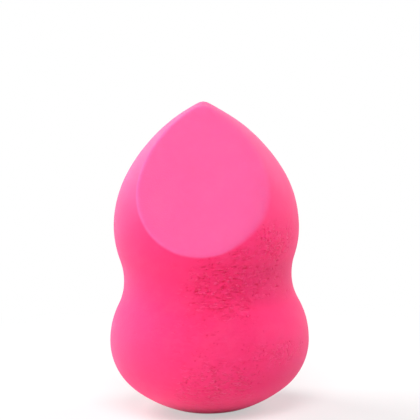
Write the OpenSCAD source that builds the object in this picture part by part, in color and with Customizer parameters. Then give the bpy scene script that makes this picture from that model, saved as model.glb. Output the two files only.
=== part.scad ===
// Makeup blending sponge: one piece of soft foam, shaped like a gourd,
// with a slanted flat cut for pressing and an edge for fine work.
// The gourd is turned about Z. Its outline stands upright at three rings,
// the widest of the base, the narrowest of the waist and the widest of the
// crown. Arcs that meet with no corner lead from ring to ring, up to the
// nose at the tip and down to the dome that the flat foot is ground on.
// The cut faces -Y. The origin is the centre of the foot.

/* [Height] */
// Height of the base's widest ring over the foot
base_rise = 14.2; // [12.5:0.1:16]
// Height of the waist over the base's ring
waist_rise = 12.8; // [10:0.2:16]
// Height of the crown's widest ring over the waist
crown_rise = 10; // [8:0.5:13]
// Height of the tip over the crown's ring
tip_rise = 25; // [22:0.5:30]

/* [Girth] */
// Diameter of the base's widest ring, the widest of the whole sponge
base_d = 40; // [37:0.5:46]
// Depth by which the waist lies inside the base's ring, at one side
waist_inset = 3.2; // [1:0.1:5]
// Swell of the crown's ring beyond the waist, at one side
crown_swell = 1.7; // [0.6:0.1:4]

/* [Tip and foot] */
// Radius of the small round nose at the tip
nose_r = 2; // [1:0.1:4]
// Diameter of the flat foot that the sponge stands on
foot_d = 11; // [8:0.5:16]

/* [Slanted cut] */
// Angle that the cut leans back from upright
cut_tilt = 30; // [27:1:36]
// Distance from the axis to the cut, at the tip's height
cut_lead = 1.8; // [1:0.1:4]

/* [Fullness] */
// Arc under the base's ring, as a share of that ring's height
base_under_share = 0.85; // [0.6:0.01:0.93]
// Arc over the base's ring, as a share of the bend from base to waist
base_over_share = 0.6; // [0.4:0.01:0.75]
// Arc under the crown's ring, as a share of the bend from waist to crown
crown_under_share = 0.6; // [0.4:0.01:0.75]
// Arc over the crown's ring, as a share of the arc that would reach the nose alone
crown_over_share = 0.85; // [0.7:0.01:0.98]
// Long arc of the shoulder, as a share of that same arc
shoulder_share = 1.3; // [1.1:0.05:2]

/* [Hidden] */
$fn = 120;
// Most degrees that one straight stretch of an arc turns through
arc_step = 3;
foam_pink = [0.98, 0.33, 0.57];

waist_z = base_rise + waist_rise;
crown_z = waist_z + crown_rise;
body_h = crown_z + tip_rise;
base_r = base_d / 2;
waist_r = base_r - waist_inset;
crown_r = waist_r + crown_swell;
foot_r = foot_d / 2;

// The rings and ends of the outline, each as [distance from the axis, height]
tip = [0, body_h];
crown_ring = [crown_r, crown_z];
waist_ring = [waist_r, waist_z];
base_ring = [base_r, base_rise];
foot_edge = [foot_r, 0];
foot_centre = [0, 0];

// A point at a distance from one point, in the direction of another
function toward(from, to, distance) = from + distance * (to - from) / norm(to - from);

// Centre of a longer arc that goes round two others and meets both with no
// corner. It is on the left of the way from the first centre to the second.
function arc_over(first_c, first_r, second_c, second_r, radius) =
    let (
        span = norm(second_c - first_c),
        way = (second_c - first_c) / span,
        near = radius - first_r,
        far = radius - second_r,
        run = (near * near - far * far + span * span) / (2 * span)
    )
    first_c + run * way + sqrt(near * near - run * run) * [-way.y, way.x];

// What the radii of two arcs add up to that bend from one upright ring to
// another, the first arc swelling and the second one hollow
function bend_r(wide, narrow) =
    let (step = wide.x - narrow.x, climb = wide.y - narrow.y)
    (step * step + climb * climb) / (2 * step);

// Direction of a vector, and the shorter turn from one vector to another
function heading(v) = atan2(v.y, v.x);
function turn(from, to) =
    let (raw = heading(to) - heading(from))
    raw > 180 ? raw - 360 : raw < -180 ? raw + 360 : raw;

// Points along an arc about a centre, up to its end but without it, because
// the next stretch starts there
function arc(centre, from, to) =
    let (
        radius = norm(from - centre),
        start = heading(from - centre),
        sweep = turn(from - centre, to - centre),
        steps = ceil(abs(sweep) / arc_step)
    )
    [for (i = [0 : steps - 1])
        let (a = start + sweep * i / steps)
        centre + radius * [cos(a), sin(a)]];

// Tip to crown. One arc alone could rise from the crown's ring to the nose.
// The real shoulder is fuller low down and straighter higher up, so a
// tighter arc leaves the ring and a longer one goes on to the nose.
nose_c = tip - [0, nose_r];
nose_rise = tip_rise - nose_r;
lone_r = (crown_r * crown_r + nose_rise * nose_rise - nose_r * nose_r)
    / (2 * (crown_r - nose_r));
crown_over_r = crown_over_share * lone_r;
crown_over_c = crown_ring - [crown_over_r, 0];
shoulder_r = shoulder_share * lone_r;
shoulder_c = arc_over(crown_over_c, crown_over_r, nose_c, nose_r, shoulder_r);
nose_end = toward(shoulder_c, nose_c, shoulder_r);
shoulder_end = toward(shoulder_c, crown_over_c, shoulder_r);

// Crown to waist: a swelling arc, then a hollow one
crown_bend_r = bend_r(crown_ring, waist_ring);
crown_under_r = crown_under_share * crown_bend_r;
crown_under_c = crown_ring - [crown_under_r, 0];
waist_over_c = waist_ring + [crown_bend_r - crown_under_r, 0];
crown_turn = toward(crown_under_c, waist_over_c, crown_under_r);

// Waist to base: a hollow arc, then a swelling one
base_bend_r = bend_r(base_ring, waist_ring);
base_over_r = base_over_share * base_bend_r;
base_over_c = base_ring - [base_over_r, 0];
waist_under_c = waist_ring + [base_bend_r - base_over_r, 0];
base_turn = toward(base_over_c, waist_under_c, base_over_r);

// Base to foot: an arc under the ring, then a dome whose centre is on the
// axis. The dome passes through the foot's edge and meets the arc with no
// corner, which leaves one height for its centre.
base_under_r = base_under_share * base_rise;
base_under_c = base_ring - [base_under_r, 0];
dome_gap = base_rise * base_rise - base_under_r * base_under_r;
dome_term = foot_r * foot_r - dome_gap - base_under_c.x * base_under_c.x;
dome_root = sqrt(dome_term * dome_term + 4 * foot_r * foot_r * dome_gap);
dome_c = [0, (base_under_r * dome_root - base_rise * dome_term) / (2 * dome_gap)];
dome_r = norm(dome_c - foot_edge);
dome_end = toward(dome_c, base_under_c, dome_r);

// Half of the gourd's outline, from the foot up the side to the tip
module outline() {
    polygon(concat(
        [foot_centre],
        arc(dome_c, foot_edge, dome_end),
        arc(base_under_c, dome_end, base_ring),
        arc(base_over_c, base_ring, base_turn),
        arc(waist_under_c, base_turn, waist_ring),
        arc(waist_over_c, waist_ring, crown_turn),
        arc(crown_under_c, crown_turn, crown_ring),
        arc(crown_over_c, crown_ring, shoulder_end),
        arc(shoulder_c, shoulder_end, nose_end),
        arc(nose_c, nose_end, tip),
        [tip]
    ));
}

// Everything in front of the slanted cut
module cut_away() {
    translate([0, -cut_lead, body_h])
        rotate([-cut_tilt, 0, 0])
            translate([-body_h, -2 * body_h, -2 * body_h])
                cube([2 * body_h, 2 * body_h, 4 * body_h]);
}

// The sponge, ground to a gourd from one block and then cut
module foam_body() {
    color(foam_pink)
        difference() {
            rotate_extrude()
                outline();
            cut_away();
        }
}

foam_body();
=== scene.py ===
import math

import bpy
from bpy.props import FloatProperty, FloatVectorProperty, PointerProperty
from mathutils import Matrix, Vector


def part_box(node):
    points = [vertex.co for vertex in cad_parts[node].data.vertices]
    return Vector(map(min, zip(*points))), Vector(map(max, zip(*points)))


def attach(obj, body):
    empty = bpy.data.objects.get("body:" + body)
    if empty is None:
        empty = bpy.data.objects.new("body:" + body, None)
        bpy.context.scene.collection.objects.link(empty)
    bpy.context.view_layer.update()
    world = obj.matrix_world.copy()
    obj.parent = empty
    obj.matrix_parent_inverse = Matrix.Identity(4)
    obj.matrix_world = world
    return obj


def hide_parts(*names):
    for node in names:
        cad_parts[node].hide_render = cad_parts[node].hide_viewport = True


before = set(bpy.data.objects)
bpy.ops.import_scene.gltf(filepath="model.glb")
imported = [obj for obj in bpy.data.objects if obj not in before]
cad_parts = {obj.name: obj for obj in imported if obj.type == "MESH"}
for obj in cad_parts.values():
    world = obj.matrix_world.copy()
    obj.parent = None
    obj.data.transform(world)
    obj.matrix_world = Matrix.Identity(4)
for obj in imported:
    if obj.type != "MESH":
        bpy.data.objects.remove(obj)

bl_info = {
    "name": "Makeup Sponge",
    "version": (1, 0, 0),
    "blender": (4, 5, 0),
    "location": "View3D > Sidebar > Makeup Sponge",
    "description": "Makes a gourd-shaped foam makeup sponge with a slanted cut, on a studio floor",
    "category": "Object",
}

MM = 0.001
NODE = "foam_body"
CAD_LOW, CAD_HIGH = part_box(NODE)
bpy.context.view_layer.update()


# Sizes, colours and lights that a user would change


class FoamShape(bpy.types.PropertyGroup):
    """Sizes of the gourd, its foot and the slanted cut"""

    base_d: FloatProperty(
        name="Base diameter", description="Widest ring of the base, and of the whole sponge",
        default=CAD_HIGH.x - CAD_LOW.x, unit="LENGTH")
    height: FloatProperty(
        name="Height", description="From the flat foot to the tip",
        default=CAD_HIGH.z - CAD_LOW.z, unit="LENGTH")
    base_rise: FloatProperty(
        name="Base rise", description="Height of the base's widest ring",
        default=14.2 * MM, unit="LENGTH")
    waist_rise: FloatProperty(
        name="Waist rise", description="Height of the waist over the base's ring",
        default=12.8 * MM, unit="LENGTH")
    crown_rise: FloatProperty(
        name="Crown rise", description="Height of the crown's widest ring over the waist",
        default=10 * MM, unit="LENGTH")
    waist_inset: FloatProperty(
        name="Waist inset", description="Depth of the waist inside the base's ring, at one side",
        default=3.2 * MM, unit="LENGTH")
    crown_swell: FloatProperty(
        name="Crown swell", description="Swell of the crown's ring beyond the waist, at one side",
        default=1.7 * MM, unit="LENGTH")
    nose_r: FloatProperty(
        name="Nose radius", description="Radius of the small round nose at the tip",
        default=2 * MM, unit="LENGTH")
    foot_d: FloatProperty(
        name="Foot diameter", description="Diameter of the flat foot",
        default=11 * MM, unit="LENGTH")
    cut_tilt: FloatProperty(
        name="Cut tilt", description="Angle that the cut leans back from upright",
        default=math.radians(30), subtype="ANGLE")
    cut_lead: FloatProperty(
        name="Cut lead", description="Distance from the axis to the cut, at the tip's height",
        default=1.8 * MM, unit="LENGTH")
    base_under_share: FloatProperty(
        name="Arc under the base", description="Share of the height of the base's ring",
        default=0.85, min=0.6, max=0.93)
    base_over_share: FloatProperty(
        name="Arc over the base", description="Share of the bend from base to waist",
        default=0.6, min=0.4, max=0.75)
    crown_under_share: FloatProperty(
        name="Arc under the crown", description="Share of the bend from waist to crown",
        default=0.6, min=0.4, max=0.75)
    crown_over_share: FloatProperty(
        name="Arc over the crown", description="Share of the arc that would reach the nose alone",
        default=0.85, min=0.7, max=0.98)
    shoulder_share: FloatProperty(
        name="Shoulder arc", description="Share of the arc that would reach the nose alone",
        default=1.3, min=1.1, max=2)


class FoamSkin(bpy.types.PropertyGroup):
    """Texture and colours of the ground and cut foam"""

    mesh_step: FloatProperty(
        name="Mesh step", description="Distance between neighbouring points of the mesh",
        default=0.2 * MM, unit="LENGTH")
    rim_round: FloatProperty(
        name="Rim rounding", description="Reach of the rounding along the crisp rim of the cut",
        default=0.35 * MM, unit="LENGTH")
    worn_round: FloatProperty(
        name="Worn rim rounding",
        description="Reach of the rounding at the upper right, where the rim is worn soft",
        default=1.5 * MM, unit="LENGTH")
    uneven_width: FloatProperty(
        name="Unevenness width", description="Width of the waves that grinding by hand leaves",
        default=11 * MM, unit="LENGTH")
    uneven_height: FloatProperty(
        name="Unevenness height", description="Height of those waves",
        default=0.22 * MM, unit="LENGTH")
    pore_spacing: FloatProperty(
        name="Pore spacing", description="Distance between neighbouring open pores",
        default=0.62 * MM, unit="LENGTH")
    pore_width: FloatProperty(
        name="Pore width", description="Width of the largest open pores",
        default=0.45 * MM, unit="LENGTH")
    pore_depth: FloatProperty(
        name="Pore depth", description="Depth of the largest open pores",
        default=0.3 * MM, unit="LENGTH")
    crease_depth: FloatProperty(
        name="Crease depth", description="Depth of the short level creases in the rough patches",
        default=0.2 * MM, unit="LENGTH")
    dent_height: FloatProperty(
        name="Dent height", description="Height of the fine dents in the rough patches",
        default=0.2 * MM, unit="LENGTH")
    ridge_height: FloatProperty(
        name="Ridge height", description="Height of the short curly ridges in the rough patches",
        default=0.15 * MM, unit="LENGTH")
    seed: FloatProperty(
        name="Seed", description="Moves every fine random pattern to another place", default=3.0)
    patch_width: FloatProperty(
        name="Patch width", description="Width of the rough patches at the back",
        default=15 * MM, unit="LENGTH")
    patch_seed: FloatProperty(
        name="Patch seed", description="Chooses where the rough patches at the back lie", default=880)
    body_colour: FloatVectorProperty(
        name="Body colour", description="Colour of the ground body",
        subtype="COLOR", size=3, default=(0.965, 0.0385, 0.184))
    # Painted shade in the pores, furrows and waist leans to this colour, as do the random deep clouds
    # and the grain
    deep_tone_and_shade_colour: FloatVectorProperty(
        name="Pore colour", description="Colour down in the pores",
        subtype="COLOR", size=3, default=(0.72, 0.002, 0.05))
    cut_colour: FloatVectorProperty(
        name="Cut colour", description="Colour of the paler cut face",
        subtype="COLOR", size=3, default=(0.91, 0.116, 0.34))
    # Painted sheen: the pale colour that the body leans to up at the tip, and on the widest ring of the
    # base
    painted_sheen_colour: FloatVectorProperty(
        name="Crown colour", description="Colour of the ground body up at the tip, where it is paler",
        subtype="COLOR", size=3, default=(0.93, 0.128, 0.318))
    # Painted highlight along the crests of the fine wrinkles, where light catches them
    crest_highlight_colour: FloatVectorProperty(
        name="Crest colour", description="Colour along the crests of the fine wrinkles",
        subtype="COLOR", size=3, default=(1, 0.085, 0.27))
    mottle_colour: FloatVectorProperty(
        name="Mottle colour", description="Colour that large soft clouds of the foam lean to",
        subtype="COLOR", size=3, default=(1, 0.6, 0.75))
    # How dark the painted shade in the waist's hollow is, as a share of the body colour
    painted_shade_level: FloatProperty(
        name="Dull shade",
        description="Brightness that the dull spots lean to, as a share of the body colour's",
        default=0.7, min=0, max=1)


class Studio(bpy.types.PropertyGroup):
    """Floor, lamps and camera"""

    sky_level: FloatProperty(
        name="Sky level", description="Strength of the light from all round", default=0.14)
    front_power: FloatProperty(
        name="Front lamp", description="Power of the high softbox in front",
        default=1.85, unit="POWER")
    left_power: FloatProperty(
        name="Left lamp", description="Power of the low softbox on the left",
        default=1.44, unit="POWER")
    left_back_power: FloatProperty(
        name="Left back lamp", description="Power of the softbox at the back on the left",
        default=1.88, unit="POWER")
    right_back_power: FloatProperty(
        name="Right back lamp", description="Power of the softbox at the back on the right",
        default=1.18, unit="POWER")
    floor_show: FloatProperty(
        name="Floor show",
        description="Share of the floor's shadow that the camera sees by the sponge",
        default=0.5, min=0, max=1)
    floor_colour: FloatVectorProperty(
        name="Floor colour", description="Colour of the pale floor",
        subtype="COLOR", size=3, default=(0.8, 0.8, 0.8))
    camera_azimuth: FloatProperty(
        name="Camera azimuth", description="Angle of the camera round the sponge from its front",
        default=math.radians(3.8), subtype="ANGLE")
    camera_elevation: FloatProperty(
        name="Camera elevation", description="Angle of the camera above the level",
        default=math.radians(8), subtype="ANGLE")
    camera_roll: FloatProperty(
        name="Camera roll", description="Lean of the picture, with the top to the left",
        default=math.radians(1.66), subtype="ANGLE")
    camera_distance: FloatProperty(
        name="Camera distance", description="From the camera to the point that it aims at",
        default=360.5 * MM, unit="LENGTH")
    aim_height: FloatProperty(
        name="Aim height", description="Height of the point that the camera aims at",
        default=30 * MM, unit="LENGTH")


# Node trees, for shapes and for materials


class Wire:
    """An output socket that takes part in sums, as a number does"""

    def __init__(self, maker, socket):
        self.maker, self.socket = maker, socket

    def out(self, name):
        return Wire(self.maker, self.socket.node.outputs[name])

    def sum(self, operation, *values):
        return self.maker.add("ShaderNodeMath", {"operation": operation}, dict(enumerate(values)))

    def __add__(self, other):
        return self.sum("ADD", self, other)

    def __sub__(self, other):
        return self.sum("SUBTRACT", self, other)

    def __rsub__(self, other):
        return self.sum("SUBTRACT", other, self)

    def __mul__(self, other):
        return self.sum("MULTIPLY", self, other)

    def __truediv__(self, other):
        return self.sum("DIVIDE", self, other)

    def __rtruediv__(self, other):
        return self.sum("DIVIDE", other, self)

    __radd__, __rmul__ = __add__, __mul__

    def __abs__(self):
        return self.sum("ABSOLUTE", self)

    def over(self, other):
        """The larger of the two"""
        return self.sum("MAXIMUM", self, other)

    def ease(self, low, high):
        """0 up to low, 1 from high on, and a smooth rise between them, or a fall if high is less"""
        return self.maker.add(
            "ShaderNodeMapRange", {"interpolation_type": "SMOOTHSTEP"},
            {"Value": self, "From Min": low, "From Max": high})


class Maker:
    """Adds nodes to a tree"""

    def __init__(self, tree):
        self.tree = tree

    def add(self, kind, settings=None, sockets=None):
        """A node with its settings and then its sockets, each a value or a wire, as its first output"""
        node = self.tree.nodes.new(kind)
        for name, value in (settings or {}).items():
            setattr(node, name, value)
        for key, value in (sockets or {}).items():
            socket = self.socket(node, key)
            if isinstance(value, Wire):
                self.tree.links.new(value.socket, socket)
            elif value is not None:
                socket.default_value = value
        outs = [o for o in node.outputs if o.enabled]
        return Wire(self, outs[0]) if outs else node

    def socket(self, node, key):
        """An input by its number, or by its name among those in use"""
        if isinstance(key, int):
            return node.inputs[key]
        return next(s for s in node.inputs if s.enabled and key in (s.name, s.identifier))

    def vector(self, operation, *values):
        return self.add("ShaderNodeVectorMath", {"operation": operation}, dict(enumerate(values)))

    def scaled(self, vector, factor):
        return self.add(
            "ShaderNodeVectorMath", {"operation": "SCALE"}, {"Vector": vector, "Scale": factor})

    def colour(self, share, first, second):
        """A mix of two colours"""
        settings = {"data_type": "RGBA", "clamp_factor": True}
        wire = self.add(
            "ShaderNodeMix", settings, {"Factor": share, "A_Color": first, "B_Color": second})
        return Wire(self, next(o for o in wire.socket.node.outputs if o.enabled))

    def noise(self, place, width, detail=2.0, roughness=0.5, seed=None):
        """Smooth noise whose lumps are about width across, from 0 to 1, and other noise for each seed"""
        sockets = {"Vector": place, "Scale": 1 / width, "Detail": detail, "Roughness": roughness}
        if seed is None:
            return self.add("ShaderNodeTexNoise", {"noise_dimensions": "3D"}, sockets)
        return self.add("ShaderNodeTexNoise", {"noise_dimensions": "4D"}, sockets | {"W": seed})

    def cells(self, place, width):
        """Scattered points about width apart: the distance to the nearest in widths, and its colour"""
        return self.add(
            "ShaderNodeTexVoronoi", {"voronoi_dimensions": "3D", "feature": "F1"},
            {"Vector": place, "Scale": 1 / width})

    def chances(self, cells):
        """Two random numbers for each of the cells, from 0 to 1"""
        colour = self.add("ShaderNodeSeparateXYZ", {}, {"Vector": cells.out("Color")})
        return colour.out("X"), colour.out("Y")

    def attribute(self, name):
        """A number that the mesh holds at each point"""
        return self.add("ShaderNodeAttribute", {"attribute_name": name}).out("Fac")


def shape_tree(name, sizes):
    """A geometry node tree with a named input for each size, and its maker and inputs by name"""
    tree = bpy.data.node_groups.new(name, "GeometryNodeTree")
    tree.interface.new_socket("Geometry", in_out="INPUT", socket_type="NodeSocketGeometry")
    for size_name, kind in sizes.items():
        tree.interface.new_socket(size_name, in_out="INPUT", socket_type=kind)
    tree.interface.new_socket("Geometry", in_out="OUTPUT", socket_type="NodeSocketGeometry")
    maker = Maker(tree)
    inputs = tree.nodes.new("NodeGroupInput")
    return tree, maker, {s.name: Wire(maker, s) for s in inputs.outputs if s.name}


def finish_tree(maker, geometry, material=None):
    """Ends a tree in plain mesh, and in its material where it has one"""
    geometry = maker.add("GeometryNodeRealizeInstances", {}, {"Geometry": geometry})
    if material is not None:
        geometry = maker.add(
            "GeometryNodeSetMaterial", {}, {"Geometry": geometry, "Material": material})
    out = maker.tree.nodes.new("NodeGroupOutput")
    maker.tree.links.new(geometry.socket, out.inputs[0])


def grow(obj, tree, values):
    """Puts a node tree on an object as a modifier and sets its inputs by name"""
    modifier = obj.modifiers.new(tree.name, "NODES")
    modifier.node_group = tree
    for item in tree.interface.items_tree:
        if item.in_out == "INPUT" and item.name in values:
            modifier[item.identifier] = values[item.name]


def settle(obj, material):
    """Turns an object's modifiers into plain mesh that has one material slot"""
    evaluated = obj.evaluated_get(bpy.context.evaluated_depsgraph_get())
    mesh = bpy.data.meshes.new_from_object(evaluated)
    obj.modifiers.clear()
    old, obj.data = obj.data, mesh
    bpy.data.meshes.remove(old)
    mesh.name = obj.name
    mesh.materials.clear()
    mesh.materials.append(material)


# The gourd's outline


def toward(start, end, distance):
    """The point at a distance from start, in the direction of end"""
    return start + distance * (end - start).normalized()


def arc(centre, start, end, step):
    """Points from start to end round a centre, without the last"""
    a, b = start - centre, end - centre
    first = math.atan2(a.y, a.x)
    sweep = (math.atan2(b.y, b.x) - first + math.pi) % math.tau - math.pi
    count = max(2, math.ceil(abs(sweep) * a.length / step))
    turns = (first + sweep * i / count for i in range(count))
    return [centre + a.length * Vector((math.cos(t), math.sin(t))) for t in turns]


def gourd_outline(s, step):
    """Half of the outline as (distance from axis, height), from the foot's centre up to the tip"""
    base_r, foot_r = s.base_d / 2, s.foot_d / 2
    waist_r = base_r - s.waist_inset
    crown_r = waist_r + s.crown_swell
    waist_z = s.base_rise + s.waist_rise
    crown_z = waist_z + s.crown_rise
    tip = Vector((0, s.height))
    crown, waist = Vector((crown_r, crown_z)), Vector((waist_r, waist_z))
    base, foot_edge = Vector((base_r, s.base_rise)), Vector((foot_r, 0))

    nose_c = tip - Vector((0, s.nose_r))
    nose_rise = nose_c.y - crown_z
    lone_r = (crown_r ** 2 + nose_rise ** 2 - s.nose_r ** 2) / (2 * (crown_r - s.nose_r))
    over_r, shoulder_r = s.crown_over_share * lone_r, s.shoulder_share * lone_r
    over_c = crown - Vector((over_r, 0))
    span = (nose_c - over_c).length
    near, far = shoulder_r - over_r, shoulder_r - s.nose_r
    run = (near ** 2 - far ** 2 + span ** 2) / (2 * span)
    way = (nose_c - over_c).normalized()
    shoulder_c = over_c + run * way + math.sqrt(near ** 2 - run ** 2) * Vector((-way.y, way.x))
    nose_end = toward(shoulder_c, nose_c, shoulder_r)
    shoulder_end = toward(shoulder_c, over_c, shoulder_r)

    def bend(wide, share):
        """Centres and turning point of the two arcs between a wide ring and the waist"""
        step_in, climb = wide.x - waist.x, wide.y - waist.y
        both = (step_in ** 2 + climb ** 2) / (2 * step_in)
        swell_c = wide - Vector((share * both, 0))
        hollow_c = waist + Vector(((1 - share) * both, 0))
        return swell_c, hollow_c, toward(swell_c, hollow_c, share * both)

    crown_under_c, waist_over_c, crown_turn = bend(crown, s.crown_under_share)
    base_over_c, waist_under_c, base_turn = bend(base, s.base_over_share)

    under_r = s.base_under_share * s.base_rise
    under_c = base - Vector((under_r, 0))
    gap = s.base_rise ** 2 - under_r ** 2
    term = foot_r ** 2 - gap - under_c.x ** 2
    root = math.sqrt(term ** 2 + 4 * foot_r ** 2 * gap)
    dome_c = Vector((0, (under_r * root - s.base_rise * term) / (2 * gap)))
    dome_end = toward(dome_c, under_c, (dome_c - foot_edge).length)

    foot = [foot_edge * share for share in (0, 0.25, 0.5, 0.75)]
    sides = [
        (dome_c, foot_edge, dome_end), (under_c, dome_end, base), (base_over_c, base, base_turn),
        (waist_under_c, base_turn, waist), (waist_over_c, waist, crown_turn),
        (crown_under_c, crown_turn, crown), (over_c, crown, shoulder_end),
        (shoulder_c, shoulder_end, nose_end), (nose_c, nose_end, tip),
    ]
    return foot + [p for side in sides for p in arc(*side, step)] + [tip]


# The foam body


# Points that are nearer than this are one point
SAME_POINT = 0.001 * MM
# Rounds of blur that reach one step of the mesh. The reach grows with the root of the rounds.
ROUNDS_FOR_A_STEP = 2.5


def blur_rounds(reach, mesh_step):
    """How often neighbouring points are averaged for the blur to reach so far"""
    return math.ceil(ROUNDS_FOR_A_STEP * (reach / mesh_step) ** 2)


def turning_tree():
    """Turns an outline about Z and cuts the front of it away on a slant"""
    tree, n, size = shape_tree("turn_and_cut", {
        "Around": "NodeSocketInt", "Along": "NodeSocketInt", "Height": "NodeSocketFloat",
        "Cut tilt": "NodeSocketFloat", "Cut lead": "NodeSocketFloat",
    })
    curve = n.add("GeometryNodeMeshToCurve", {}, {"Mesh": size["Geometry"]})
    grid = n.add(
        "GeometryNodeMeshGrid", {},
        {"Size X": 1.0, "Size Y": 1.0, "Vertices X": size["Around"], "Vertices Y": size["Along"]})
    place = n.add("ShaderNodeSeparateXYZ", {}, {"Vector": grid.out("UV Map")})
    turn = place.out("X") * math.tau
    along = {"mode": "FACTOR", "data_type": "FLOAT_VECTOR", "use_all_curves": True}
    point = n.add(
        "GeometryNodeSampleCurve", along, {"Curves": curve, "Factor": place.out("Y")}).out("Position")
    side = n.add("ShaderNodeSeparateXYZ", {}, {"Vector": point})
    ring = n.add("ShaderNodeCombineXYZ", {}, {
        "X": side.out("X") * turn.sum("COSINE", turn), "Y": side.out("X") * turn.sum("SINE", turn),
        "Z": side.out("Z")})
    blank = n.add("GeometryNodeSetPosition", {}, {"Geometry": grid.out("Mesh"), "Position": ring})
    blank = n.add("GeometryNodeMergeByDistance", {}, {"Geometry": blank, "Distance": SAME_POINT})

    # The block's back face stands upright on the axis at first, and is then leant and moved out
    block_w = size["Height"] * 2
    block = n.add("GeometryNodeMeshCube", {}, {"Size": n.add(
        "ShaderNodeCombineXYZ", {}, {"X": block_w, "Y": block_w, "Z": block_w * 2})})
    block = n.add("GeometryNodeTransform", {}, {"Geometry": block, "Translation": n.add(
        "ShaderNodeCombineXYZ", {}, {"Y": size["Height"] * -1})})
    block = n.add("GeometryNodeTransform", {}, {
        "Geometry": block,
        "Rotation": n.add("ShaderNodeCombineXYZ", {}, {"X": size["Cut tilt"] * -1}),
        "Translation": n.add(
            "ShaderNodeCombineXYZ", {}, {"Y": size["Cut lead"] * -1, "Z": size["Height"]})})
    cut = n.add(
        "GeometryNodeMeshBoolean", {"operation": "DIFFERENCE", "solver": "EXACT"},
        {"Mesh 1": blank, "Mesh 2": block})
    finish_tree(n, cut)
    return tree


# Where the foam is rough in front: azimuth to the right in degrees, height, half of the width and
# half of the height in millimetres, and how rough
ROUGH_PATCHES = {
    "waist": (14, 27, 8.9, 6.6, 0.95),
    "right of the waist": (40, 28, 9, 5.5, 0.5),
    "under the rim": (27, 32.8, 6.5, 3.4, 0.65),
    "beside the rim": (48, 35.2, 7, 4.2, 0.8),
    "base": (2, 17.5, 12, 8, 0.2),
    "low in front": (8, 8.6, 9.5, 5.5, 1),
    "low on the right": (41, 13.6, 9, 3, 0.6),
}
# Where shade is painted on the foam in front, in the hollow of the waist and under the crown: the same
# places and sizes, and how dark
PAINTED_SHADE_SPOTS = {
    "right of the waist": (50, 27, 10.5, 4.6, 1),
    "left of the waist": (-20, 26, 9, 4.6, 0.35),
}
# Radius at which an azimuth is turned into a width, for the patches and the spots
UNROLLED_R = 18 * MM

# Fades: where each feature of the skin is 0, and where it is 1. Depths are measured out of the
# cut's plane, so they are less than 0 in the foam. Distances from an oval count its half sizes,
# from a pore its own reach, and from a crease its pattern's width. The rest are levels of noise.
RIM_DEPTHS = (-2.2 * MM, -0.6 * MM)
WORN_RIM_DEPTHS = (-8 * MM, -4 * MM)
WORN_SIDE = (1 * MM, 8 * MM)
WORN_HEIGHTS = (33 * MM, 42 * MM)
CUT_DEPTHS = (-0.5 * MM, -0.12 * MM)
WAIST_REACH = (11 * MM, 5 * MM)
BASE_REACH = (9 * MM, 3 * MM)
BACK_AZIMUTHS = (math.radians(95), math.radians(125))
BACK_PATCHES = (0.45, 0.62)
PATCH_REACH = (1.4, 0.2)
PAINTED_SHADE_REACH = (1.3, 0.5)
PORE_EDGE = (1.0, 0.3)
CREASE_EDGE = (0.4, 0.1)
CURL_EDGE = (0.1, 0.0)
CURL_GAPS = (0.46, 0.56)
CHANCE_EDGE = (0.0, 0.1)
FOOT_HEIGHTS = (0.0, 0.5 * MM)

# Weight of the blur along the rim, on top of the weight that it has everywhere
RIM_BLUR = 0.85
BLUR_ANYWHERE = 0.06
# Added to the depth at which the cut's look starts, where its rim is worn
WORN_CUT_DEPTH = -0.9 * MM
# Shares of the waves and of the pits of its pores that the cut keeps
CUT_WAVES = 0.25
CUT_PORES = 0.05
# How rough the chance patches are low down and in between, where the waist's are 1
LOW_ROUGHNESS = 0.8
BETWEEN_ROUGHNESS = 0.2
# Share of the pores that are open on plain ground, and how much larger it is in a rough patch
PLAIN_PORES = 0.03
ROUGH_PORES = 0.35
# Width of the smallest open pore, as a share of the largest
SMALLEST_PORE = 0.5
# Share of the creases that are open in the waist, where it is rough
ROUGH_CREASES = 0.7
# Height of the dents away from the waist, as a share of those in it
DENTS_AWAY = 0.5
# Direction in which the seed moves the patterns
SEED_WAY = (1.0, 0.37, 0.71)

# Height of the low rough zone, which the chance patches keep to as they do to the waist
LOW_ZONE_Z = 8 * MM
# Drop of the middle of the rough zone under the waist's ring
WAIST_ZONE_DROP = 1 * MM
# Width of the notches in the patches' edges, and how far they reach in, in half sizes
NOTCH_W = 3 * MM
NOTCH_REACH = 1.6
# Widths of the patterns that are real shape
CREASE_W = 0.9 * MM
DENT_W = 1.1 * MM
CURL_W = 2.0 * MM
CURL_GAP_W = 1.5 * MM
# Scales of a place's coordinates that draw a pattern out level and squeeze it upright
LONG_AND_LOW = (0.5, 0.5, 1.6)
CREASE_SCALES = (0.45, 0.45, 1.8)
CURL_SCALES = (0.7, 0.7, 1.3)


def distance_from(n, unrolled, turn, height, half_width, half_height):
    """How far a place on the unrolled surface is from an oval's centre, 1 on the oval itself"""
    centre = (math.radians(turn) * UNROLLED_R, height * MM, 0)
    shrink = (1 / (half_width * MM), 1 / (half_height * MM), 0)
    off = n.vector("MULTIPLY", n.vector("SUBTRACT", unrolled, centre), shrink)
    return n.vector("LENGTH", off).out("Value")


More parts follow.
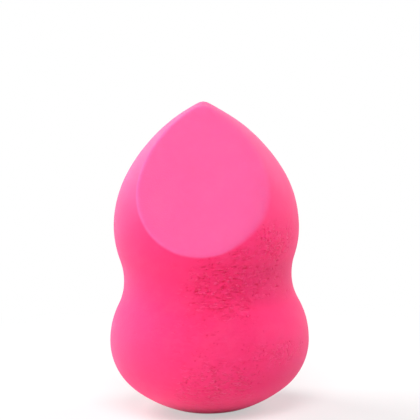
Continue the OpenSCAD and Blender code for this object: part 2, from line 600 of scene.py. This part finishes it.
def skin_tree(material):
    """Softens the rim of the cut, makes the surface uneven, and opens pores and creases in it"""
    rounds = dict.fromkeys(("Rim rounds", "Worn rim rounds"), "NodeSocketInt")
    sizes = dict.fromkeys((
        "Height", "Waist height", "Cut tilt", "Cut lead", "Seed", "Patch width", "Patch seed",
        "Uneven width", "Uneven height", "Pore spacing", "Pore width", "Pore depth",
        "Crease depth", "Dent height", "Ridge height"), "NodeSocketFloat")
    tree, n, size = shape_tree("foam_skin", rounds | sizes)
    position = n.add("GeometryNodeInputPosition")
    tilt = size["Cut tilt"]
    facing = n.add("ShaderNodeCombineXYZ", {}, {
        "Y": tilt.sum("COSINE", tilt) * -1, "Z": tilt.sum("SINE", tilt)})
    cut_point = n.add("ShaderNodeCombineXYZ", {}, {"Y": size["Cut lead"] * -1, "Z": size["Height"]})
    from_cut = n.vector("SUBTRACT", position, cut_point)
    depth = n.vector("DOT_PRODUCT", from_cut, facing).out("Value")

    # The rim is where the surface is close behind the cut's plane. A blur rounds it and leaves flat
    # ground flat. The rim is crisp all round but for the upper right, where handling wore it soft.
    axes = n.add("ShaderNodeSeparateXYZ", {}, {"Vector": position})
    up = axes.out("Z")
    worn = axes.out("X").ease(*WORN_SIDE) * up.ease(*WORN_HEIGHTS)
    rim = n.add("GeometryNodeBlurAttribute", {"data_type": "FLOAT_VECTOR"}, {
        "Value": position, "Iterations": size["Rim rounds"],
        "Weight": depth.ease(*RIM_DEPTHS) * RIM_BLUR + BLUR_ANYWHERE})
    rim = n.add("GeometryNodeBlurAttribute", {"data_type": "FLOAT_VECTOR"}, {
        "Value": rim, "Iterations": size["Worn rim rounds"],
        "Weight": depth.ease(*WORN_RIM_DEPTHS) * worn})
    eased = n.add("GeometryNodeSetPosition", {}, {"Geometry": size["Geometry"], "Position": rim})
    cut_back, cut_front = CUT_DEPTHS
    on_cut = depth.ease(worn * WORN_CUT_DEPTH + cut_back, cut_front)
    on_body = 1 - on_cut

    # Waves from grinding by hand, which the flat cut keeps only a little of
    moved = n.vector("ADD", position, n.scaled(SEED_WAY, size["Seed"]))
    waves = n.noise(moved, size["Uneven width"]) - 0.5
    wave_lift = waves * size["Uneven height"] * (on_body * (1 - CUT_WAVES) + CUT_WAVES)

    # Rough patches, where grinding opened the foam: listed one by one in front, by chance at the back
    waist_zone = abs(up - (size["Waist height"] - WAIST_ZONE_DROP)).ease(*WAIST_REACH)
    low_zone = abs(up - LOW_ZONE_Z).ease(*BASE_REACH)
    azimuth = axes.out("X").sum("ARCTAN2", axes.out("X"), axes.out("Y") * -1)
    unrolled = n.add("ShaderNodeCombineXYZ", {}, {"X": azimuth * UNROLLED_R, "Y": up})
    at_back = n.noise(position, size["Patch width"], seed=size["Patch seed"]).ease(*BACK_PATCHES)
    zones = waist_zone.over(low_zone * LOW_ROUGHNESS).over(BETWEEN_ROUGHNESS)
    patch = zones * at_back * abs(azimuth).ease(*BACK_AZIMUTHS)
    notch = (n.noise(moved, NOTCH_W) - 0.5) * NOTCH_REACH
    for *oval, strength in ROUGH_PATCHES.values():
        away = distance_from(n, unrolled, *oval) + notch
        patch = patch.over(away.ease(*PATCH_REACH) * strength)
    patch = patch * on_body
    # Painted shade in the waist's hollow, where the crown keeps light off, stored for the material
    painted_shade = 0
    for *oval, strength in PAINTED_SHADE_SPOTS.values():
        spot = distance_from(n, unrolled, *oval).ease(*PAINTED_SHADE_REACH) * strength
        painted_shade = spot.over(painted_shade)
    painted_shade = painted_shade * on_body

    # Open pores: pits of many sizes, close together in the rough patches and rare elsewhere
    pores = n.cells(moved, size["Pore spacing"])
    chance, girth = n.chances(pores)
    reach = size["Pore width"] / size["Pore spacing"] * 0.5
    opened = (patch * ROUGH_PORES + PLAIN_PORES - chance).ease(*CHANCE_EDGE)
    girth = girth * (1 - SMALLEST_PORE) + SMALLEST_PORE
    pit = (pores.out("Distance") / (reach * girth)).ease(*PORE_EDGE)
    pit = pit * opened * (on_body * (1 - CUT_PORES) + CUT_PORES)

    # Short level creases in the rough patches, most of them in the waist
    slots = n.cells(n.vector("MULTIPLY", moved, CREASE_SCALES), CREASE_W)
    chance, _ = n.chances(slots)
    creased = (waist_zone * patch * ROUGH_CREASES - chance).ease(*CHANCE_EDGE)
    crease = slots.out("Distance").ease(*CREASE_EDGE) * creased

    # Fine pimples and dents between them, strongest in the waist
    dents = n.noise(n.vector("MULTIPLY", moved, LONG_AND_LOW), DENT_W, detail=1.0) - 0.5
    dents = dents * patch * (waist_zone * (1 - DENTS_AWAY) + DENTS_AWAY)

    # Short curly ridges, where the skin of the foam is dragged into wrinkles
    curls = n.noise(n.vector("MULTIPLY", moved, CURL_SCALES), CURL_W, detail=1.0)
    broken = n.noise(moved, CURL_GAP_W, detail=0.0).ease(*CURL_GAPS)
    ridge = abs(curls - 0.5).ease(*CURL_EDGE) * broken * patch

    marked = eased
    marks = {"pore": pit.over(crease), "cut_face": on_cut, "rough_patch": patch, "dull_spot": painted_shade}
    for name, value in marks.items():
        marked = n.add(
            "GeometryNodeStoreNamedAttribute", {"data_type": "FLOAT", "domain": "POINT"},
            {"Geometry": marked, "Name": name, "Value": value})
    lift = wave_lift + dents * size["Dent height"] + ridge * size["Ridge height"]
    lift = lift - pit * size["Pore depth"] - crease * size["Crease depth"]
    normal = n.add("GeometryNodeInputNormal")
    shaped = n.add("GeometryNodeSetPosition", {}, {
        "Geometry": marked, "Offset": n.scaled(normal, lift * up.ease(*FOOT_HEIGHTS))})
    shaped = n.add("GeometryNodeSetShadeSmooth", {}, {"Geometry": shaped})
    finish_tree(n, shaped, material)
    return tree


# Widths of the material's patterns, and the depth of its bump
FINE_PORE_W = 0.5 * MM
WRINKLE_W = 1.0 * MM
WRINKLE_GAP_W = 1.2 * MM
GRAIN_W = 0.45 * MM
CELL_W = 0.24 * MM
MOTTLE_W = 6 * MM
GRAIN_SCALES = (0.6, 0.6, 1.5)
BUMP_DEPTH = 0.12 * MM
# Fades of those patterns: the levels of their noise, or the distances from a middle, for 0 and 1
FINE_PORE_EDGE = (0.45, 0.12)
FINE_CHANCE_EDGE = (0.0, 0.15)
WRINKLE_GAPS = (0.4, 0.56)
FURROW_EDGE = (0.065, 0.0)
CREST_LEVEL = 0.59
CREST_EDGE = (0.055, 0.0)
GRAIN_DIPS = (0.52, 0.25)
CELL_EDGE = (0.1, 0.7)
PALE_CLOUDS = (0.45, 0.75)
DEEP_CLOUDS = (0.5, 0.25)
# Share of the fine pores on plain ground, and how much larger it is in a rough patch
FINE_PLAIN_PORES = 0.04
FINE_ROUGH_PORES = 0.5

# How far each feature leans the colour to its own
WIDEST_HIGHLIGHT_LEAN = 0.05
WIDEST_LEFT_HIGHLIGHT_LEAN = 0.05
PALE_CLOUD_LEAN = 0.02
DEEP_CLOUD_LEAN = 0.04
GRAIN_LEAN = 0.03
ROUGH_GRAIN_LEAN = 0.06
WAIST_SHADE_LEAN = 0.16
PAINTED_SHADE_LEAN = 0.45
CREST_HIGHLIGHT_LEAN = 0.8
PIT_SHADE_LEAN = 0.45
FURROW_SHADE_LEAN = 0.37
# How much of the bump's depth each feature rises or, for the dark ones, falls
GRAIN_LIFT = 0.12
ROUGH_GRAIN_LIFT = 0.4
CELL_LIFT = 0.12
CREST_LIFT = 0.25
DARK_DROP = 0.6

# Heights from where painted sheen starts to pale the body to where it is palest, towards the tip
CROWN_SHEEN_HEIGHTS = (35 * MM, 57 * MM)
# The widest part of the base has a slight painted highlight too, most of all on the left, where the low
# left lamp grazes it
WIDEST_Z = 14 * MM
WIDEST_REACH = (9 * MM, 3 * MM)
LEFT_SIDE = (0.0, -14 * MM)
# The rough patches are darkest in the waist, between two fades by height: painted shade in the hollow
# under the crown
DARK_FROM = (18 * MM, 24 * MM)
DARK_TO = (38 * MM, 31 * MM)


def foam_material(skin):
    """Matte pink foam with a paler cut, painted shade in pores, furrows and waist, painted sheen and
    highlights
    """
    material = bpy.data.materials.new("pink_foam")
    material.use_nodes = True
    material.node_tree.nodes.clear()
    n = Maker(material.node_tree)
    place = n.add("ShaderNodeTexCoord").out("Object")
    axes = n.add("ShaderNodeSeparateXYZ", {}, {"Vector": place})
    up = axes.out("Z")
    rough, cut_face = n.attribute("rough_patch"), n.attribute("cut_face")
    body = 1 - cut_face

    # Fine pores, and wrinkles of a dark furrow and a light crest, thickest in the rough patches. Their
    # colours are painted shade in the pores and furrows and a painted highlight on the crests, over real
    # bumps.
    fine = n.cells(place, FINE_PORE_W)
    _, chance = n.chances(fine)
    opened = (rough * FINE_ROUGH_PORES + FINE_PLAIN_PORES - chance).ease(*FINE_CHANCE_EDGE)
    fine_pore = fine.out("Distance").ease(*FINE_PORE_EDGE) * opened
    wrinkle = n.noise(
        n.vector("MULTIPLY", place, LONG_AND_LOW), WRINKLE_W, detail=3.0, roughness=0.6)
    broken = n.noise(place, WRINKLE_GAP_W, detail=1.0).ease(*WRINKLE_GAPS) * rough * body
    furrow = abs(wrinkle - 0.5).ease(*FURROW_EDGE) * broken
    crest = abs(wrinkle - CREST_LEVEL).ease(*CREST_EDGE) * broken
    dark = (fine_pore * body).over(furrow)
    grain = n.noise(
        n.vector("MULTIPLY", place, GRAIN_SCALES), GRAIN_W, detail=3.0, roughness=0.6)
    mottle = n.noise(place, MOTTLE_W, detail=4.0, roughness=0.6)

    deep_and_shade, crown, cut, crest_highlight_colour, mottled, ground = ([*colour, 1.0] for colour in (
        skin.deep_tone_and_shade_colour, skin.painted_sheen_colour, skin.cut_colour, skin.crest_highlight_colour,
        skin.mottle_colour, skin.body_colour))
    # Painted highlight round the widest ring of the base, strongest on the left
    left = axes.out("X").ease(*LEFT_SIDE)
    widest_highlight = abs(up - WIDEST_Z).ease(*WIDEST_REACH) * (left * WIDEST_LEFT_HIGHLIGHT_LEAN + WIDEST_HIGHLIGHT_LEAN)
    # Painted sheen pales the body towards the tip, and the widest ring leans to the same pale colour
    colour = n.colour(up.ease(*CROWN_SHEEN_HEIGHTS).over(widest_highlight), ground, crown)
    colour = n.colour(cut_face, colour, cut)
    colour = n.colour(mottle.ease(*PALE_CLOUDS) * PALE_CLOUD_LEAN, colour, mottled)
    colour = n.colour(mottle.ease(*DEEP_CLOUDS) * DEEP_CLOUD_LEAN, colour, deep_and_shade)
    # Painted shade in the waist's hollow, on the rough patches
    tone = rough * up.ease(*DARK_FROM) * up.ease(*DARK_TO) * WAIST_SHADE_LEAN
    tone = grain.ease(*GRAIN_DIPS) * (rough * ROUGH_GRAIN_LEAN + GRAIN_LEAN) + tone
    colour = n.colour(tone, colour, deep_and_shade)
    # The painted shade spots lean the colour to a darker copy of the body colour
    painted_shade = [*(skin.painted_shade_level * c for c in skin.body_colour), 1.0]
    colour = n.colour(n.attribute("dull_spot") * PAINTED_SHADE_LEAN, colour, painted_shade)
    # Painted highlight on the wrinkles' crests
    colour = n.colour(crest * CREST_HIGHLIGHT_LEAN, colour, crest_highlight_colour)
    # Painted shade in the pits, creases, fine pores and furrows
    colour = n.colour(n.attribute("pore") * PIT_SHADE_LEAN + dark * FURROW_SHADE_LEAN, colour, deep_and_shade)

    cells = n.cells(place, CELL_W).out("Distance").ease(*CELL_EDGE) * CELL_LIFT
    height = grain * (rough * ROUGH_GRAIN_LIFT + GRAIN_LIFT) + cells + crest * CREST_LIFT
    height = height - dark * DARK_DROP
    bump = n.add("ShaderNodeBump", {}, {"Strength": 1.0, "Distance": BUMP_DEPTH, "Height": height})
    shader = n.add("ShaderNodeBsdfPrincipled", {}, {
        "Base Color": colour,
        "Roughness": grain * 0.08 + 0.84,
        "Normal": bump,
        "Specular IOR Level": 0.0,
        "Subsurface Weight": 0.3,
        "Subsurface Radius": (1.0, 0.16, 0.3),
        "Subsurface Scale": 4 * MM,
        "Sheen Weight": 0.2,
        "Sheen Roughness": 0.5,
        "Sheen Tint": (1.0, 1.0, 1.0, 1.0),
    })
    out = material.node_tree.nodes.new("ShaderNodeOutputMaterial")
    material.node_tree.links.new(shader.socket, out.inputs["Surface"])
    return material


class SPONGE_OT_foam_body(bpy.types.Operator):
    """Makes the sponge's foam body, with its slanted cut, pores and creases"""

    bl_idname = "sponge.foam_body"
    bl_label = "Foam Body"

    def execute(self, context):
        shape, skin = context.scene.foam_shape, context.scene.foam_skin
        outline = gourd_outline(shape, 2 * skin.mesh_step)
        mesh = bpy.data.meshes.new("foam_sponge")
        points = [(p.x, 0, p.y) for p in outline]
        edges = [(i, i + 1) for i in range(len(points) - 1)]
        mesh.from_pydata(points, edges, [])
        body = bpy.data.objects.new("foam_sponge", mesh)
        context.scene.collection.objects.link(body)

        around = math.ceil(math.pi * shape.base_d / (2 * skin.mesh_step))
        grow(body, turning_tree(), {
            "Around": around, "Along": len(outline), "Height": shape.height,
            "Cut tilt": shape.cut_tilt, "Cut lead": shape.cut_lead})
        even = body.modifiers.new("even_mesh", "REMESH")
        even.mode = "VOXEL"
        even.voxel_size = skin.mesh_step
        even.use_smooth_shade = True
        foam = foam_material(skin)
        grow(body, skin_tree(foam), {
            "Rim rounds": blur_rounds(skin.rim_round, skin.mesh_step),
            "Worn rim rounds": blur_rounds(skin.worn_round, skin.mesh_step),
            "Height": shape.height, "Waist height": shape.base_rise + shape.waist_rise,
            "Cut tilt": shape.cut_tilt, "Cut lead": shape.cut_lead, "Seed": skin.seed,
            "Patch width": skin.patch_width, "Patch seed": skin.patch_seed,
            "Uneven width": skin.uneven_width, "Uneven height": skin.uneven_height,
            "Pore spacing": skin.pore_spacing, "Pore width": skin.pore_width,
            "Pore depth": skin.pore_depth, "Crease depth": skin.crease_depth,
            "Dent height": skin.dent_height, "Ridge height": skin.ridge_height})
        settle(body, foam)
        if not body.data.polygons:
            raise RuntimeError("the foam body came out empty")
        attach(body, "root")
        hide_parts(NODE)
        return {"FINISHED"}


# Floor, lamps and camera


def floor_material(colour, show, clear_from, clear_to):
    """A pale floor that fades into the white backdrop away from the sponge, for the camera alone"""
    material = bpy.data.materials.new("pale_floor")
    material.use_nodes = True
    material.node_tree.nodes.clear()
    n = Maker(material.node_tree)
    paint = n.add("ShaderNodeBsdfDiffuse", {}, {"Color": [*colour, 1.0]})
    white = n.add("ShaderNodeEmission", {}, {"Color": (1, 1, 1, 1), "Strength": 1.0})
    away = n.vector("LENGTH", n.add("ShaderNodeTexCoord").out("Object")).out("Value")
    seen = n.add("ShaderNodeLightPath").out("Is Camera Ray")
    mix = n.add("ShaderNodeMixShader", {}, {
        0: (1 - away.ease(clear_to, clear_from) * show) * seen, 1: paint, 2: white})
    out = material.node_tree.nodes.new("ShaderNodeOutputMaterial")
    material.node_tree.links.new(mix.socket, out.inputs["Surface"])
    return material


def studio_sky(level):
    """Light from all round, which the camera and reflections see as white"""
    world = bpy.data.worlds.new("white_studio")
    bpy.context.scene.world = world
    world.use_nodes = True
    world.node_tree.nodes.clear()
    n = Maker(world.node_tree)
    rays = n.add("ShaderNodeLightPath")
    direct = rays.out("Is Camera Ray").over(rays.out("Is Glossy Ray"))
    direct = direct.over(rays.out("Is Transmission Ray"))
    sky = n.add("ShaderNodeBackground", {}, {
        "Color": (1, 1, 1, 1), "Strength": direct * (1 - level) + level})
    out = world.node_tree.nodes.new("ShaderNodeOutputWorld")
    world.node_tree.links.new(sky.socket, out.inputs["Surface"])


# Each softbox's azimuth to the right of the front and its elevation, in degrees
SOFTBOXES = {"front": (5, 52), "left": (-81, 5), "left_back": (-116, 42), "right_back": (115, 28)}
# Sizes of the stage in heights of the sponge
SOFTBOX_DISTANCE = 8
SOFTBOX_WIDTH = 4.5
FLOOR_HALF = 60
SHADOW_SEEN_TO = 0.8
SHADOW_GONE_AT = 2


def softbox(name, azimuth, elevation, distance, width, power, target):
    """A square lamp at a direction from the target, turned towards it"""
    lamp = bpy.data.lights.new(name, "AREA")
    lamp.shape = "SQUARE"
    lamp.size = width
    lamp.energy = power
    obj = bpy.data.objects.new(name, lamp)
    a, e = math.radians(azimuth), math.radians(elevation)
    away = Vector((math.sin(a) * math.cos(e), -math.cos(a) * math.cos(e), math.sin(e)))
    obj.location = target + away * distance
    obj.rotation_euler = away.to_track_quat("Z", "Y").to_euler()
    bpy.context.scene.collection.objects.link(obj)


PHOTO_SIDE_PX = 420
SENSOR_MM = 36
NEAREST_SEEN, FARTHEST_SEEN = 10 * MM, 100
# Photograph's pixels to a millimetre where the sponge stands, and where the aimed point lies in it
PX_PER_MM = 4.987
AIM_PX = (207.45, 261.2)


def photo_camera(studio):
    """A camera at the photograph's viewing angle, with the sponge where the photograph has it"""
    data = bpy.data.cameras.new("photo_camera")
    data.sensor_width = SENSOR_MM
    data.lens = SENSOR_MM * PX_PER_MM * (studio.camera_distance / MM) / PHOTO_SIDE_PX
    data.shift_x = (PHOTO_SIDE_PX / 2 - AIM_PX[0]) / PHOTO_SIDE_PX
    data.shift_y = (AIM_PX[1] - PHOTO_SIDE_PX / 2) / PHOTO_SIDE_PX
    data.clip_start, data.clip_end = NEAREST_SEEN, FARTHEST_SEEN
    camera = bpy.data.objects.new("photo_camera", data)
    a, e, roll = studio.camera_azimuth, studio.camera_elevation, studio.camera_roll
    back = Vector((math.sin(a) * math.cos(e), -math.cos(a) * math.cos(e), math.sin(e)))
    level_right = Vector((math.cos(a), math.sin(a), 0))
    level_up = back.cross(level_right)
    right = level_right * math.cos(roll) - level_up * math.sin(roll)
    up = level_right * math.sin(roll) + level_up * math.cos(roll)
    place = Vector((0, 0, studio.aim_height)) + back * studio.camera_distance
    turned = Matrix((right, up, back)).transposed().to_4x4()
    camera.matrix_world = Matrix.Translation(place) @ turned
    bpy.context.scene.collection.objects.link(camera)
    bpy.context.scene.camera = camera


class SPONGE_OT_stage(bpy.types.Operator):
    """Makes the pale floor, the white studio, the lamps and the camera"""

    bl_idname = "sponge.stage"
    bl_label = "Studio Stage"

    def execute(self, context):
        studio, height = context.scene.studio, context.scene.foam_shape.height
        half = FLOOR_HALF * height
        mesh = bpy.data.meshes.new("floor")
        corners = [(-half, -half, 0), (half, -half, 0), (half, half, 0), (-half, half, 0)]
        mesh.from_pydata(corners, [], [(0, 1, 2, 3)])
        mesh.materials.append(floor_material(
            studio.floor_colour, studio.floor_show, SHADOW_SEEN_TO * height, SHADOW_GONE_AT * height))
        floor = bpy.data.objects.new("floor", mesh)
        context.scene.collection.objects.link(floor)

        studio_sky(studio.sky_level)
        target = Vector((0, 0, height / 2))
        away, width = SOFTBOX_DISTANCE * height, SOFTBOX_WIDTH * height
        for name, (azimuth, elevation) in SOFTBOXES.items():
            power = getattr(studio, name + "_power")
            softbox(name + "_softbox", azimuth, elevation, away, width, power, target)
        photo_camera(studio)
        context.scene.view_settings.view_transform = "Standard"
        return {"FINISHED"}


class SPONGE_PT_panel(bpy.types.Panel):
    """Shows the buttons that make the sponge and its stage, and all of their settings"""

    bl_idname = "SPONGE_PT_panel"
    bl_label = "Makeup Sponge"
    bl_space_type = "VIEW_3D"
    bl_region_type = "UI"
    bl_category = "Makeup Sponge"

    def draw(self, context):
        layout, scene = self.layout, context.scene
        layout.operator(SPONGE_OT_foam_body.bl_idname)
        layout.operator(SPONGE_OT_stage.bl_idname)
        for group in (scene.foam_shape, scene.foam_skin, scene.studio):
            box = layout.box()
            box.label(text=type(group).__doc__)
            for name in type(group).__annotations__:
                box.prop(group, name)


CLASSES = (FoamShape, FoamSkin, Studio, SPONGE_OT_foam_body, SPONGE_OT_stage, SPONGE_PT_panel)


def register():
    for cls in CLASSES:
        bpy.utils.register_class(cls)
    bpy.types.Scene.foam_shape = PointerProperty(type=FoamShape)
    bpy.types.Scene.foam_skin = PointerProperty(type=FoamSkin)
    bpy.types.Scene.studio = PointerProperty(type=Studio)


def unregister():
    del bpy.types.Scene.studio
    del bpy.types.Scene.foam_skin
    del bpy.types.Scene.foam_shape
    for cls in reversed(CLASSES):
        bpy.utils.unregister_class(cls)


def main():
    register()
    bpy.ops.sponge.foam_body()
    bpy.ops.sponge.stage()


if __name__ == "__main__":
    main()
